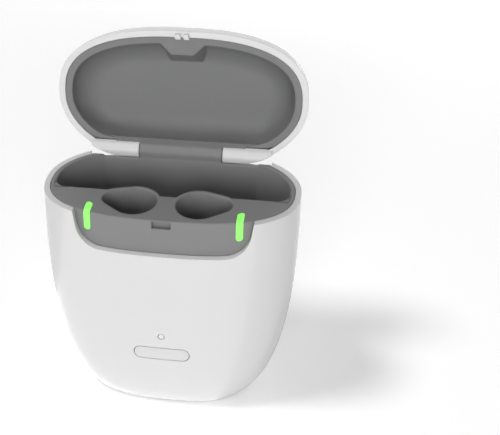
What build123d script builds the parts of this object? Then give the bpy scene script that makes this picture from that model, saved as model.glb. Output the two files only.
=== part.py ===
"""Desktop charger for a pair of behind-the-ear hearing aids.

A tall oval pot stands on a flat base. A grey tray drops into its sloping mouth,
with a deck, two pockets and a deep well behind them. A domed lid turns on a pin
through the tray's barrel at the back of the mouth. Sizes are millimetres.

World frame: X across the front, Y towards the back, Z up, base plane at Z = 0.
Mouth frame: X across, W along the sloping mouth towards the back, H square to it.
"""
from build123d import *
import math
import os

# Pot outline at the mouth and at the base
half_width = 42.0
front_depth = 22.8
back_depth = 25.2
back_flat = 21.85
front_power = 2.6
back_power = 2.05
flat_power = 14.0
base_half_width = 24.9
base_front_depth = 15.4
base_back_depth = 16.0
side_power = 3.06
side_round = 1.72
face_power = 5.14
face_round = 3.07
outline_points = 44
form_steps = 12
form_crowding = 2.2

# Pot height and the slope of its mouth
rim_height = 74.0
rim_slope = 7.5
form_top = rim_height + 8.0
shell_bottom = 0.6
shell_wall = 1.95
fit_gap = 0.15
running_gap = 0.05

# Finger cut-out in the front of the pot
cutout_half_width = 28.5
cutout_draw_in = 1.8
cutout_depth = 11.3
cutout_corner = 8.0

# Tray
tray_wall = 1.6
tray_skirt = 16.0
well_front = -5.7
bridge_back = -7.4
well_rim = 1.5
tub_inset = 0.4
pocket_x = 10.3
pocket_y = -11.0
pocket_radius = 7.3
pocket_tip_x = 16.6
pocket_tip_y = -9.9
pocket_tip_radius = 4.4
pocket_depth = 17.0
pocket_wall = 1.1
slot_half_width = 2.95
slot_height = 2.5
slot_middle = -1.7
slot_depth = 1.6

# Light bars that wrap over the edge of the deck
bar_x = 24.1
bar_width = 2.2
bar_back = -13.4
bar_bottom = -6.5
bar_proud = 0.12
led_size = 1.8

# Hinge
hinge_w = 18.9
hinge_h = 0.8
hinge_neck = 0.7
knuckle_radius = 2.9
barrel_half_length = 14.2
knuckle_end_gap = 0.2
knuckle_outer = 31.0
knuckle_set_in = 0.2
pin_radius = 0.9
pin_half_length = 22.0
lid_open_angle = 101.0
sweep_gap = 0.3

# Lid
lid_height = 15.0
lid_overhang = 0.1
lid_wall = 2.05
lid_crown_share = 0.45
lid_side_power = 4.0
lid_side_round = 2.2
lid_steps = 8
lid_last_turn = 80.0
lid_window = 3.0
knuckle_web = 4.5
parting_gap = 0.15
liner_band = 2.4
liner_wall = 1.3
liner_recess = 0.1
bowl_depth = 10.0
bowl_side_inset = 7.0
bowl_front_inset = 8.5
bowl_back_wall = 0.9
liner_back_gap = 0.15
bowl_back_lean = 20.0
tab_half_width = 7.4
tab_tip_half_width = 3.7
tab_root_w = -18.6
tab_tip_w = -15.0
boss_spread = 2.0
boss_reach = 4.5
nib_inner = 0.55
nib_outer = 2.3
nib_reach = 1.8
nib_thickness = 1.15
nib_pad = 0.9
nib_gap = 0.25

# Magnets in the tab and under the deck
magnet_half_width = 2.6
magnet_length = 3.0
magnet_thickness = 2.0
magnet_front_w = -18.4
magnet_gap = 0.05

# Front button and status light
button_height = 22.7
button_half_length = 9.1
button_half_width = 2.2
button_gap = 0.2
button_travel = 0.5
button_flange = 0.9
button_flange_thickness = 0.8
button_boss_radius = 2.4
front_curve_room = 0.6
flange_clearance = 0.1
front_post_root = 1.2
status_height = 29.6
status_radius = 1.1
status_gap = 0.2

# Front board behind the button
board_thickness = 1.2
front_board_width = 26.0
front_board_low = 16.0
front_board_high = 34.0
front_board_y = -15.6
switch_size = 6.0
switch_depth = 2.4
switch_floor = 0.4
plunger_radius = 1.5
plunger_out = 0.7
plunger_in = 1.4
screw_radius = 1.0
screw_head_radius = 1.9
screw_head_height = 1.1
screw_clearance = 0.1
screw_side_gap = 0.2
screw_tip_gap = 0.3
front_screw_x = 10.5
front_screw_z = 31.0
front_screw_length = 4.0

# Base plate, its pad and screws
plate_thickness = 2.6
plate_edge = 2.6
plate_ledge = 2.4
ledge_thickness = 1.8
pad_inset = 4.0
pad_thickness = 1.2
base_screw_x = 17.8
base_screw_y = 6.5
base_screw_length = 5.2
base_boss_radius = 2.6
base_boss_height = 4.6
post_radius = 2.3

# Main board, its posts and the power socket
main_board_z = 8.0
main_board_width = 50.0
main_board_length = 29.0
main_board_y = 1.5
main_board_gap = 0.5
main_post_x = 10.5
main_post_front = -5.0
main_post_back = 6.0
main_screw_length = 9.0
socket_width = 8.94
socket_height = 3.16
socket_length = 7.3
socket_metal = 0.3
socket_back_wall = 1.0
tongue_set_back = 1.0
socket_mouth = 20.0
tongue_width = 6.7
tongue_thickness = 0.7

# Battery and its cradle
battery_length = 46.0
battery_width = 22.0
battery_height = 9.0
battery_corner = 2.0
battery_z = 15.0
cradle_wall = 1.2
cradle_height = 5.6
cradle_leg_radius = 2.6

# Charging board and coils under the pockets
charge_board_half_width = 26.0
charge_board_front = -17.0
charge_board_back = -9.6
charge_board_round = 6.5
coil_radius = 6.2
coil_hole = 2.4
coil_thickness = 1.0
tray_post_x = 20.6
tray_post_y = -15.4
tray_post_radius = 1.8
tray_screw_length = 5.0
stem_y = -14.8

mouth = Plane(
    origin=(0, 0, rim_height),
    x_dir=(1, 0, 0),
    z_dir=(0, -math.sin(math.radians(rim_slope)), math.cos(math.radians(rim_slope))),
).location


def signed_power(value, power):
    return math.copysign(abs(value) ** power, value)


def outline(half_w, front, back, flat):
    """Closed oval, fuller in front, with its back flattened where the hinge sits."""
    points = []
    for step in range(outline_points):
        turn = 2 * math.pi * step / outline_points
        behind = math.sin(turn) > 0
        power = back_power if behind else front_power
        x = half_w * signed_power(math.cos(turn), 2 / power)
        y = (back if behind else front) * signed_power(math.sin(turn), 2 / power)
        if behind:
            y = y / (1 + (y / flat) ** flat_power) ** (1 / flat_power)
        points.append((x, y))
    return make_face(Spline(*points, periodic=True))


def pot_section(height, inset):
    """The pot's oval at one height, drawn in all round by the inset."""
    drop = min(max((rim_height - height) / rim_height, 0.0), 1.0)
    wide = (1 - drop**side_power) ** (1 / side_round)
    deep = (1 - drop**face_power) ** (1 / face_round)
    half_w = base_half_width + (half_width - base_half_width) * wide
    front = base_front_depth + (front_depth - base_front_depth) * deep
    back = base_back_depth + (back_depth - base_back_depth) * deep
    flat = back_flat * back / back_depth
    return outline(half_w - inset, front - inset, back - inset, flat - inset)


def pot_form(inset, low):
    """Solid pot shape from one height to above the mouth, drawn in by the inset."""
    sections = []
    for step in range(form_steps + 1):
        height = low + (form_top - low) * (step / form_steps) ** form_crowding
        sections.append(Pos(0, 0, height) * pot_section(height, inset))
    return loft(sections)


def mouth_outline(inset):
    """The oval of the pot's mouth, in the mouth plane."""
    stretch = 1 / math.cos(math.radians(rim_slope))
    front = front_depth * stretch - inset
    back = back_depth * stretch - inset
    flat = back_flat * stretch - inset
    return outline(half_width - inset, front, back, flat)


def slab(low, high):
    """Everything between two heights over the mouth plane."""
    size = 4 * half_width
    return mouth * Pos(0, 0, (low + high) / 2) * Box(size, size, high - low)


def pill(half_length, half_height):
    """Flat pill outline, long along X."""
    return SlotOverall(2 * half_length, 2 * half_height)


def hinge_cylinder(radius, low_x, high_x):
    """Round bar on the hinge line, in the mouth frame."""
    bar = Rot(0, 90, 0) * Cylinder(radius, high_x - low_x)
    return Pos((low_x + high_x) / 2, hinge_w, hinge_h) * bar


def both_sides(solid):
    return solid + mirror(solid, about=Plane.YZ)


def block(low, high):
    """Box between two opposite corners."""
    size = [b - a for a, b in zip(low, high)]
    middle = [(a + b) / 2 for a, b in zip(low, high)]
    return Pos(*middle) * Box(*size)


def rod(x, low_y, high_y, z, radius):
    """Round bar along Y."""
    return Pos(x, (low_y + high_y) / 2, z) * Rot(90, 0, 0) * Cylinder(radius, high_y - low_y)


def post(x, y, low, high, radius):
    """Round bar along the third axis."""
    return Pos(x, y, (low + high) / 2) * Cylinder(radius, high - low)


def open_lid(solid):
    """Turn a piece of the closed lid back to where it stands in the photograph."""
    line = Axis((0, hinge_w, hinge_h), (1, 0, 0))
    return mouth * solid.rotate(line, -lid_open_angle)


def hinge_notch():
    """Room at the back of the mouth for the knuckles and for the lid as it leans back."""
    reach = knuckle_radius + lid_overhang + sweep_gap
    span = knuckle_outer + knuckle_end_gap
    groove = hinge_cylinder(reach, -span, span)
    lean = Pos(0, hinge_w, hinge_h) * Rot(90 - lid_open_angle, 0, 0)
    room = lean * Pos(0, half_width / 2, half_width / 2 - reach) * Box(2 * span, half_width, half_width)
    return groove + room


def cutout_prism():
    """Finger cut-out, straight through the front wall, in the mouth frame."""
    top = 3.0
    grow = cutout_draw_in * top / cutout_depth
    corners = [
        (-cutout_half_width - grow, top),
        (-cutout_half_width + cutout_draw_in, -cutout_depth),
        (cutout_half_width - cutout_draw_in, -cutout_depth),
        (cutout_half_width + grow, top),
    ]
    shape = make_face(Polyline(*corners, close=True))
    lower = shape.vertices().sort_by(Axis.Y)[:2]
    shape = fillet(lower, cutout_corner)
    wall = Plane(origin=(0, 0, 0), x_dir=(1, 0, 0), z_dir=(0, -1, 0))
    return extrude(wall * shape, 2 * half_width)


def teardrop(grow):
    """Outline of the right-hand pocket, grown all round."""
    inner = pocket_radius + grow
    outer = pocket_tip_radius + grow
    across = pocket_tip_x - pocket_x
    along = pocket_tip_y - pocket_y
    heading = math.atan2(along, across)
    spread = math.acos((inner - outer) / math.hypot(across, along))
    corners = []
    for x, y, radius, side in (
        (pocket_x, pocket_y, inner, 1),
        (pocket_tip_x, pocket_tip_y, outer, 1),
        (pocket_tip_x, pocket_tip_y, outer, -1),
        (pocket_x, pocket_y, inner, -1),
    ):
        turn = heading + side * spread
        corners.append((x + radius * math.cos(turn), y + radius * math.sin(turn)))
    shape = make_face(Polyline(*corners, close=True))
    shape += Pos(pocket_x, pocket_y) * Circle(inner)
    shape += Pos(pocket_tip_x, pocket_tip_y) * Circle(outer)
    return shape


def pocket_solid(grow, low, high):
    shape = Pos(0, 0, low) * teardrop(grow)
    return both_sides(extrude(shape, high - low))


def well_solid(inset, grow, low, high):
    """Room behind the deck, between two heights."""
    back = (hinge_w - knuckle_radius) * math.cos(math.radians(rim_slope)) + grow
    side = 2 * half_width
    shape = pot_section(rim_height, shell_wall + fit_gap + inset)
    room = extrude(Pos(0, 0, low) * shape, high - low)
    wide = block((-side, well_front - grow, low), (side, back, high))
    middle = block((-pocket_tip_x, bridge_back - grow, low), (pocket_tip_x, back, high))
    return room & (wide + middle)


def tray_block(inset, deck_drop, low):
    """Solid that fills the mouth of the pot between one height and just under the mouth plane."""
    shape = Pos(0, 0, low) * pot_section(rim_height, shell_wall + fit_gap + inset)
    return extrude(shape, form_top - low) - slab(-deck_drop, 3 * tray_skirt)


def skirt_low():
    return rim_height - tray_skirt


def pocket_floor():
    return rim_height + pocket_y * math.tan(math.radians(rim_slope)) - pocket_depth


def charge_board_top():
    """Height of the charging board, under the pockets and their coils."""
    return pocket_floor() - pocket_wall - coil_thickness


def light_bar_path():
    """The strip that the light bar follows, as seen from above and from the front."""
    half = bar_width / 2
    long = 2 * half_width
    above = block((bar_x - half, -long, -long), (bar_x + half, bar_back - half, long))
    above += post(bar_x, bar_back - half, -long, long, half)
    front = block((bar_x - half, -long, bar_bottom + half), (bar_x + half, long, long))
    front += rod(bar_x, -long, long, bar_bottom + half, half)
    return mouth * (above & front)


def light_bar():
    """Right-hand light bar with its stem down to the lamp below."""
    proud = tray_block(-bar_proud, -bar_proud, skirt_low())
    inside = tray_block(tray_wall / 2, tray_wall / 2, skirt_low() - 1)
    half = bar_width / 2
    bar = (proud - inside) & light_bar_path()
    foot = charge_board_top() + led_size
    stem = block((bar_x - half, stem_y - half, foot), (bar_x + half, stem_y + half, rim_height))
    return bar + (stem - slab(-tray_wall / 4, 3 * tray_skirt))


def tray_posts():
    low = charge_board_top()
    return both_sides(post(tray_post_x, tray_post_y, low, form_top, tray_post_radius))


def charging_tray():
    """Deck, skirt, pockets, well and hinge barrel in one moulding."""
    tray = tray_block(0, 0, skirt_low()) - tray_block(tray_wall, tray_wall, skirt_low() - 1)
    inner = well_solid(tub_inset, tray_wall, pocket_floor() - pocket_wall, form_top)
    inner += pocket_solid(pocket_wall, pocket_floor() - pocket_wall, form_top)
    inner += tray_posts()
    tray += inner - slab(-tray_wall / 2, 3 * tray_skirt)
    well = well_solid(well_rim, 0, pocket_floor(), form_top)
    tray -= well - pocket_solid(pocket_wall, pocket_floor() - 1, form_top + 1)
    tray -= pocket_solid(0, pocket_floor(), form_top)
    tray -= mouth * hinge_notch()
    tray += hinge_barrel()
    tray -= mouth * latch_slot()
    tray -= both_sides(light_bar())
    low = charge_board_top() - 1
    return tray - both_sides(post(tray_post_x, tray_post_y, low, low + 1 + tray_screw_length, screw_radius))


def hinge_barrel():
    """Middle barrel of the hinge on its neck, bored for the pin."""
    half = barrel_half_length
    neck_front = hinge_w - knuckle_radius
    neck = mouth * block((-half, neck_front, -tray_skirt / 2), (half, hinge_w + hinge_neck, hinge_h))
    room = Pos(0, 0, skirt_low()) * pot_section(rim_height, shell_wall + fit_gap)
    barrel = (neck & extrude(room, 2 * tray_skirt)) + mouth * hinge_cylinder(knuckle_radius, -half, half)
    return barrel - mouth * hinge_cylinder(pin_radius + running_gap, -half - 1, half + 1)


def latch_slot():
    """Slot for the latch in the front of the tray, in the mouth frame."""
    front = -front_depth
    back = -(front_depth / math.cos(math.radians(rim_slope)) - shell_wall - fit_gap) + slot_depth
    low = slot_middle - slot_height / 2
    return block((-slot_half_width, front, low), (slot_half_width, back, low + slot_height))


def outer_shell():
    """White pot with its finger cut-out, hinge notch, floor ledge and bosses."""
    floor_top = shell_bottom + plate_thickness + ledge_thickness
    pot = pot_form(0, shell_bottom) - pot_form(shell_wall, floor_top)
    pot -= slab(0, 3 * tray_skirt)
    pot -= mouth * cutout_prism()
    pot -= mouth * hinge_notch()
    seat_top = shell_bottom + plate_thickness
    seat = Pos(0, 0, shell_bottom - 1) * pot_section(shell_bottom, plate_edge - fit_gap)
    pot -= extrude(seat, plate_thickness + 1)
    opening = Pos(0, 0, shell_bottom) * pot_section(shell_bottom, plate_edge + plate_ledge)
    pot -= extrude(opening, plate_thickness + ledge_thickness + 1)
    for x, y in base_screw_places():
        pot += post(x, y, seat_top, seat_top + base_boss_height, base_boss_radius)
        pot -= post(x, y, seat_top - 1, seat_top + base_boss_height - 1, screw_radius)
    board_front = front_board_y
    for x in (-front_screw_x, front_screw_x):
        pot += rod(x, front_post_root - front_depth, board_front, front_screw_z, post_radius)
        pot -= rod(x, board_front - front_screw_length, board_front + 1, front_screw_z, screw_radius)
    pot -= button_prism(button_gap, -half_width, -front_depth / 2)
    pot -= rod(0, -half_width, -front_depth / 2, status_height, status_radius)
    return pot - socket_hole()


def base_screw_places():
    return [(x, y) for x in (-base_screw_x, base_screw_x) for y in (-base_screw_y, base_screw_y)]


def button_prism(grow, front, back):
    """Pill outline of the button, carried from front to back."""
    half_length = button_half_length + grow
    half_high = button_half_width + grow
    face = Plane(origin=(0, front, button_height), x_dir=(1, 0, 0), z_dir=(0, 1, 0))
    return extrude(face * pill(half_length, half_high), back - front)


def socket_prism(grow, front, back):
    """Rounded outline of the power socket, carried from front to back."""
    middle_z = main_board_z + board_thickness + socket_height / 2
    face = Plane(origin=(0, front, middle_z), x_dir=(1, 0, 0), z_dir=(0, 1, 0))
    shape = pill(socket_width / 2 + grow, socket_height / 2 + grow)
    return extrude(face * shape, back - front)


def socket_hole():
    return socket_prism(fit_gap, socket_mouth - socket_length, half_width)


def inner_wall_y():
    """Inside face of the front wall where the button's flange bears."""
    return shell_wall + front_curve_room - front_depth


def front_button():
    """Button cap that follows the curve of the pot, with its flange and boss."""
    flange_front = inner_wall_y() + flange_clearance
    flange_back = flange_front + button_flange_thickness
    cap = pot_form(0, shell_bottom) & button_prism(0, -half_width, flange_front)
    flange = button_prism(button_flange, flange_front, flange_back)
    boss = rod(0, flange_back, plunger_front(), button_height, button_boss_radius)
    return cap + flange + boss


def switch_front():
    return front_board_y - switch_depth


def plunger_front():
    return switch_front() - plunger_out


def switch_plunger():
    return rod(0, plunger_front(), switch_front() + plunger_in, button_height, plunger_radius)


def button_switch():
    half = switch_size / 2
    low = button_height - half
    body = block((-half, switch_front(), low), (half, front_board_y, low + switch_size))
    bore = plunger_radius + screw_clearance
    return body - rod(0, switch_front() - 1, front_board_y - switch_floor, button_height, bore)


def status_light():
    """Light guide from the lamp on the front board to the face of the pot."""
    guide = rod(0, -half_width, front_board_y - led_size / 2 - status_gap, status_height, status_radius)
    return pot_form(0, shell_bottom) & guide


def status_lamp():
    half = led_size / 2
    low = status_height - half
    return block((-half, front_board_y - half, low), (half, front_board_y, low + led_size))


def front_board():
    half = front_board_width / 2
    back = front_board_y + board_thickness
    board = block((-half, front_board_y, front_board_low), (half, back, front_board_high))
    for x in (-front_screw_x, front_screw_x):
        board -= rod(x, front_board_y - 1, back + 1, front_screw_z, screw_radius)
    return board


def front_screws():
    back = front_board_y + board_thickness
    tip = front_board_y - front_screw_length + screw_tip_gap
    screw = rod(front_screw_x, tip, back, front_screw_z, screw_radius)
    screw += rod(front_screw_x, back, back + screw_head_height, front_screw_z, screw_head_radius)
    return both_sides(screw)


def base_plate():
    """Plate that closes the bottom, with posts for the main board."""
    plate = extrude(Pos(0, 0, shell_bottom) * pot_section(shell_bottom, plate_edge), plate_thickness)
    pad = Pos(0, 0, shell_bottom - 1) * pot_section(shell_bottom, pad_inset)
    recess = pad_thickness - shell_bottom
    plate -= extrude(pad, 1 + recess)
    head_low = shell_bottom + recess
    head_room = screw_head_radius + screw_side_gap
    for x, y in base_screw_places():
        plate -= post(x, y, head_low - 1, head_low + screw_head_height + screw_clearance, head_room)
        plate -= post(x, y, head_low, shell_bottom + plate_thickness + 1, screw_radius)
    for x, y in main_post_places():
        plate += post(x, y, shell_bottom + plate_thickness, main_board_z, post_radius)
        plate -= post(x, y, shell_bottom + plate_thickness - 1, main_board_z + 1, screw_radius)
    return plate


def main_post_places():
    return [(x, y) for x in (-main_post_x, main_post_x) for y in (main_post_front, main_post_back)]


def base_screws():
    """Four screws that hold the base plate to the pot."""
    low = pad_thickness + screw_clearance
    screws = []
    for x, y in base_screw_places():
        screw = post(x, y, low, low + screw_head_height, screw_head_radius)
        screws.append(screw + post(x, y, low + screw_head_height, low + base_screw_length, screw_radius))
    return Compound(children=screws)


def foot_pad():
    return extrude(pot_section(shell_bottom, pad_inset), pad_thickness)


def main_board():
    """Board over the base plate, cut to the oval of the pot at its corners."""
    half = main_board_width / 2
    front = main_board_y - main_board_length / 2
    top = main_board_z + board_thickness
    board = block((-half, front, main_board_z), (half, front + main_board_length, top))
    room = pot_section(main_board_z, shell_wall + main_board_gap)
    board = board & extrude(Pos(0, 0, main_board_z) * room, board_thickness)
    for x, y in main_post_places():
        board -= post(x, y, main_board_z - 1, top + 1, screw_radius)
    return board


def power_socket():
    """Metal socket with an open mouth and a tongue, on the rear edge of the main board."""
    front = socket_mouth - socket_length
    shell = socket_prism(0, front, socket_mouth)
    shell -= socket_prism(-socket_metal, front + socket_back_wall, socket_mouth + 1)
    middle_z = main_board_z + board_thickness + socket_height / 2
    half = tongue_width / 2
    low = middle_z - tongue_thickness / 2
    root = front + socket_back_wall / 2
    tongue = block((-half, root, low), (half, socket_mouth - tongue_set_back, low + tongue_thickness))
    return shell + tongue


def battery_cradle():
    """Open box on four legs that holds the battery over the main board."""
    half_x = battery_length / 2 + fit_gap + cradle_wall
    half_y = battery_width / 2 + fit_gap + cradle_wall
    low = battery_z - cradle_wall
    box = block((-half_x, -half_y, low), (half_x, half_y, low + cradle_height))
    hollow_x = half_x - cradle_wall
    hollow_y = half_y - cradle_wall
    box -= block((-hollow_x, -hollow_y, battery_z), (hollow_x, hollow_y, battery_z + cradle_height))
    board_top = main_board_z + board_thickness
    head_low = battery_z - screw_head_height - screw_clearance
    for x, y in main_post_places():
        box += post(x, y, board_top, battery_z, cradle_leg_radius)
        box -= post(x, y, board_top - 1, battery_z + 1, screw_radius)
        box -= post(x, y, head_low, battery_z + 1, screw_head_radius + screw_clearance)
    return box


def cradle_screws():
    """Long screws through the cradle's legs and the main board into the base plate."""
    head_low = battery_z - screw_head_height - screw_clearance
    screws = []
    for x, y in main_post_places():
        shank = post(x, y, head_low - main_screw_length, head_low, screw_radius)
        screws.append(shank + post(x, y, head_low, head_low + screw_head_height, screw_head_radius))
    return Compound(children=screws)


def battery_cell():
    half_x = battery_length / 2
    half_y = battery_width / 2
    cell = block((-half_x, -half_y, battery_z), (half_x, half_y, battery_z + battery_height))
    return fillet(cell.edges().filter_by(Axis.X), battery_corner)


def charging_board():
    """Board under the pockets that carries the coils and the side lamps."""
    top = charge_board_top()
    low = top - board_thickness
    half = charge_board_half_width
    board = block((-half, charge_board_front, low), (half, charge_board_back, top))
    board += both_sides(post(pocket_x, pocket_y, low, top, charge_board_round))
    return board - both_sides(post(tray_post_x, tray_post_y, low - 1, top + 1, screw_radius))


def tray_screws():
    top = charge_board_top() - board_thickness
    reach = top + board_thickness + tray_screw_length - screw_tip_gap
    screw = post(tray_post_x, tray_post_y, top, reach, screw_radius)
    screw += post(tray_post_x, tray_post_y, top - screw_head_height, top, screw_head_radius)
    return both_sides(screw)


def charging_coil():
    """Flat coil between the floor of the right-hand pocket and the board."""
    low = charge_board_top()
    ring = post(pocket_x, pocket_y, low, low + coil_thickness, coil_radius)
    return ring - post(pocket_x, pocket_y, low - 1, low + coil_thickness + 1, coil_hole)


def side_lamp():
    half = led_size / 2
    low = charge_board_top()
    return block((bar_x - half, stem_y - half, low), (bar_x + half, stem_y + half, low + led_size))


def tray_magnet():
    back = magnet_front_w + magnet_length
    half = magnet_half_width
    low = -tray_wall - magnet_thickness
    return mouth * block((-half, magnet_front_w, low), (half, back, low + magnet_thickness))


def lid_form(inset, drop):
    """Solid dome over the mouth plane, drawn in all round and lowered at its crown."""
    rise = lid_height - parting_gap - drop
    stretch = 1 / math.cos(math.radians(rim_slope))
    sections = []
    for step in range(lid_steps + 1):
        share = math.sin(math.radians(lid_last_turn * step / lid_steps))
        swell = (1 - share**lid_side_power) ** (1 / lid_side_round)
        scale = lid_crown_share + (1 - lid_crown_share) * swell
        depths = [depth * stretch * scale - inset for depth in (front_depth, back_depth, back_flat)]
        section = outline(half_width * scale - inset, *depths)
        sections.append(Pos(0, 0, parting_gap + rise * share) * section)
    return loft(sections)


def lid_prism(inset, low, high):
    return extrude(Pos(0, 0, low) * mouth_outline(inset), high - low)


def lid_shell_closed():
    """White dome with its two hinge knuckles and the latch nibs, shut on the pot."""
    dome = lid_form(-lid_overhang, 0)
    shell = dome - lid_form(lid_wall - lid_overhang, lid_wall)
    inner_end = barrel_half_length + knuckle_end_gap
    window_top = hinge_h + lid_window
    shell -= block((-inner_end, hinge_w - knuckle_radius, -1), (inner_end, half_width, window_top))
    shell -= hinge_cylinder(knuckle_radius + fit_gap, -inner_end, inner_end)
    web_front = hinge_w - knuckle_radius - fit_gap
    web = block((inner_end, web_front, parting_gap), (knuckle_outer, half_width, knuckle_web)) & dome
    knuckle = hinge_cylinder(knuckle_radius, inner_end, knuckle_outer)
    knuckle = knuckle & lid_prism(knuckle_set_in - lid_overhang, -lid_height, lid_height)
    shell += both_sides(web + knuckle)
    shell += latch_nibs()
    return shell - hinge_cylinder(pin_radius, -pin_half_length, pin_half_length)


def apron_w():
    """Front of the tray at the middle, in the mouth frame."""
    return -(front_depth / math.cos(math.radians(rim_slope)) - shell_wall - fit_gap)


def latch_nibs():
    """Two small white prongs at the middle of the lid's front edge."""
    back = apron_w() - nib_gap
    front = back - nib_thickness
    prong = block((nib_inner, front, -nib_reach), (nib_outer, back, parting_gap + liner_wall))
    pad = block((nib_inner, front, parting_gap), (nib_outer, back + nib_pad, parting_gap + liner_wall))
    return both_sides(prong + pad)


def bowl_form(grow, back_wall):
    """Hollow of the lid's liner, from its rim to its nearly flat floor."""
    stretch = 1 / math.cos(math.radians(rim_slope))
    edge = lid_wall + liner_band - grow
    depth = bowl_depth + grow
    sections = []
    for step in range(lid_steps + 1):
        share = math.sin(math.radians(lid_last_turn * step / lid_steps))
        draw = 1 - math.sqrt(1 - share**2)
        front = front_depth * stretch - edge - bowl_front_inset * draw
        back = back_depth * stretch - edge - bowl_front_inset * draw
        half_w = half_width - edge - bowl_side_inset * draw
        sections.append(Pos(0, 0, depth * share) * outline(half_w, front, back, back_flat * stretch - edge))
    form = loft(sections)
    size = 4 * half_width
    lean = Pos(0, flange_back() - back_wall, 0) * Rot(bowl_back_lean, 0, 0)
    return form & (lean * Pos(0, -size / 2, 0) * Box(size, size, size))


def flange_back():
    return hinge_w - knuckle_radius - fit_gap - liner_back_gap


def liner_boss():
    """Trapezoid tab at the front of the liner, spreading as it runs to the floor."""
    depth = bowl_depth + liner_wall / 2
    sections = []
    for height, spread, reach in ((0, 0, 0), (depth, boss_spread, boss_reach)):
        front = -front_depth
        corners = [
            (-tab_half_width - spread, front),
            (-tab_half_width - spread, tab_root_w),
            (-tab_tip_half_width - spread, tab_tip_w + reach),
            (tab_tip_half_width + spread, tab_tip_w + reach),
            (tab_half_width + spread, tab_root_w),
            (tab_half_width + spread, front),
        ]
        sections.append(Pos(0, 0, height) * make_face(Polyline(*corners, close=True)))
    return loft(sections, ruled=True)


def lid_liner_closed():
    """Grey liner: a flat rim, a bowl and the tab that hides the magnet."""
    low = parting_gap + liner_recess
    rim = lid_prism(lid_wall - lid_overhang, low, low + liner_wall)
    side = 2 * half_width
    rim = rim & block((-side, -side, low), (side, flange_back(), low + liner_wall))
    bowl = bowl_form(liner_wall, 0) & block((-side, -side, low), (side, side, lid_height))
    liner = rim + bowl
    liner -= bowl_form(0, bowl_back_wall) - liner_boss()
    half = magnet_half_width + magnet_gap
    back = magnet_front_w + magnet_length + magnet_gap
    liner -= block((-half, magnet_front_w - magnet_gap, low + liner_wall), (half, back, lid_height))
    nib_back = apron_w() - nib_gap + nib_pad
    nib_room = block((nib_inner, -front_depth, low - 1), (nib_outer, nib_back, low + 2 * liner_wall))
    return liner - both_sides(nib_room)


def lid_magnet_closed():
    low = parting_gap + liner_recess + liner_wall
    back = magnet_front_w + magnet_length
    half = magnet_half_width
    return block((-half, magnet_front_w, low), (half, back, low + magnet_thickness))


def hinge_pin_closed():
    return hinge_cylinder(pin_radius, -pin_half_length, pin_half_length)


def build_parts():
    """Every node of the charger by name."""
    bar = light_bar()
    coil = charging_coil()
    return {
        "outer_shell": outer_shell(),
        "base_plate": base_plate(),
        "base_screws": base_screws(),
        "foot_pad": foot_pad(),
        "charging_tray": charging_tray(),
        "left_light_bar": mirror(bar, about=Plane.YZ),
        "right_light_bar": bar,
        "side_lamps": both_sides(side_lamp()),
        "charging_board": charging_board(),
        "left_charging_coil": mirror(coil, about=Plane.YZ),
        "right_charging_coil": coil,
        "tray_screws": tray_screws(),
        "tray_magnet": tray_magnet(),
        "front_button": front_button(),
        "switch_plunger": switch_plunger(),
        "button_switch": button_switch(),
        "status_light": status_light(),
        "status_lamp": status_lamp(),
        "front_board": front_board(),
        "front_screws": front_screws(),
        "main_board": main_board(),
        "power_socket": power_socket(),
        "battery_cradle": battery_cradle(),
        "cradle_screws": cradle_screws(),
        "battery_cell": battery_cell(),
        "lid_shell": open_lid(lid_shell_closed()),
        "lid_liner": open_lid(lid_liner_closed()),
        "lid_magnet": open_lid(lid_magnet_closed()),
        "hinge_pin": open_lid(hinge_pin_closed()),
    }


if __name__ == "__main__":
    os.makedirs("parts", exist_ok=True)
    for name, solid in build_parts().items():
        export_step(solid, f"parts/{name}.step")
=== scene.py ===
"""Looks of a desktop charger for a pair of hearing aids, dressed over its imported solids."""
import logging
import math
from dataclasses import dataclass, field, replace
from enum import Enum
from typing import Sequence

import bmesh
import bpy
from mathutils import Matrix, Vector


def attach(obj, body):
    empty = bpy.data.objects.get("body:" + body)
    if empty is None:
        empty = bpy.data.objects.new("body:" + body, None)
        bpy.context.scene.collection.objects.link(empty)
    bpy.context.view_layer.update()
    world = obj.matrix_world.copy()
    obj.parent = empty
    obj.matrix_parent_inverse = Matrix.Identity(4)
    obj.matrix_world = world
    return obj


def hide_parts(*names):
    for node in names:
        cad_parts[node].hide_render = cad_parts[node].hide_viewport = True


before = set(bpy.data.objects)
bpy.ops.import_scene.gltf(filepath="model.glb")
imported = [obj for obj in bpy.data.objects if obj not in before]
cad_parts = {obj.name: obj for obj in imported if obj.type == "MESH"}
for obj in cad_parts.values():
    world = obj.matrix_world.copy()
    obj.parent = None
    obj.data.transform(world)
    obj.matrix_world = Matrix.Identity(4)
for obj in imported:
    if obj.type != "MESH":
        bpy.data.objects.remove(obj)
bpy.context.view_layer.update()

log = logging.getLogger("charger")
MM = 0.001
Colour = tuple[float, float, float]
Point = tuple[float, float, float]
Outline = list[tuple[float, float]]
FLOAT = "NodeSocketFloat"
COLOUR = "NodeSocketColor"
VECTOR = "NodeSocketVector"
MIX_FACTOR, MIX_FIRST, MIX_SECOND, MIX_RESULT = 0, 6, 7, 2
DUST_TONE = (0.33, 0.32, 0.30, 1.0)
MERGE_DISTANCE = 1e-7
SMOOTH_ANGLE = math.radians(35.0)


class Body(Enum):
    """Rigid bodies that the new pieces ride on."""

    BASE = "base"
    LID = "lid"


class Slot(Enum):
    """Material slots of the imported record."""

    GREY = "grey_plastic"
    LIGHT_BAR = "light_bar"
    LIGHT_GUIDE = "light_guide"
    DARK = "dark_plastic"


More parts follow.
